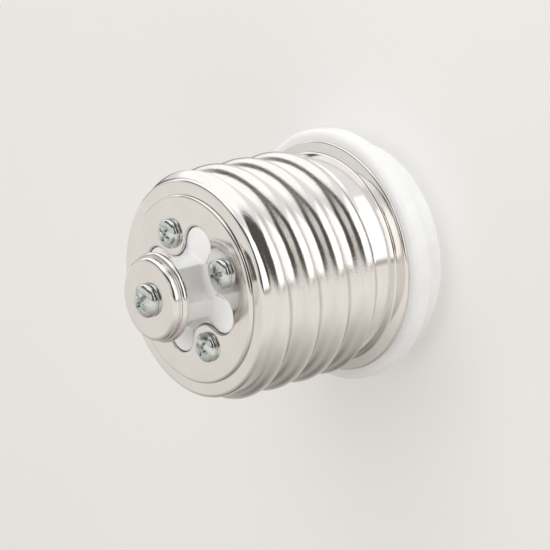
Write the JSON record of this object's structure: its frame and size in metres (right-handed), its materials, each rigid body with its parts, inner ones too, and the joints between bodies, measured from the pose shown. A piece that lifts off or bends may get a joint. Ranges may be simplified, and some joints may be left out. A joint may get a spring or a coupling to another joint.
{
  "type": "lamp socket adapter",
  "caption": "Adapter with a large threaded metal screw base outside and a medium screw lamp socket inside, on a white moulded core with a flanged collar.",
  "frame": {"origin": "centre of the mouth rim's plane, on the adapter's axis", "axes": "+Z along the axis from the mouth rim to the end contact; X and Y pass through the plate's four screws"},
  "size_m": [0.0442, 0.0442, 0.0508],
  "materials": {
    "white_moulding": "satin",
    "nickel_plate": "bright",
    "zinc_plate": "satin",
    "plain_brass": "satin"
  },
  "bodies": {
    "root": {"collar_ring": "white_moulding", "core_body": "white_moulding", "mogul_shell": "nickel_plate", "end_plate": "nickel_plate", "contact_cap": "nickel_plate", "medium_sleeve": "nickel_plate", "core_stud": "plain_brass", "contact_leaf": "plain_brass", "cap_screw": "zinc_plate", "leaf_screw": "zinc_plate", "plate_screw_1": "zinc_plate", "plate_screw_2": "zinc_plate", "plate_screw_3": "zinc_plate", "plate_screw_4": "zinc_plate", "screw_nut_1": "zinc_plate", "screw_nut_2": "zinc_plate", "screw_nut_3": "zinc_plate", "screw_nut_4": "zinc_plate"}
  },
  "joints": []
}
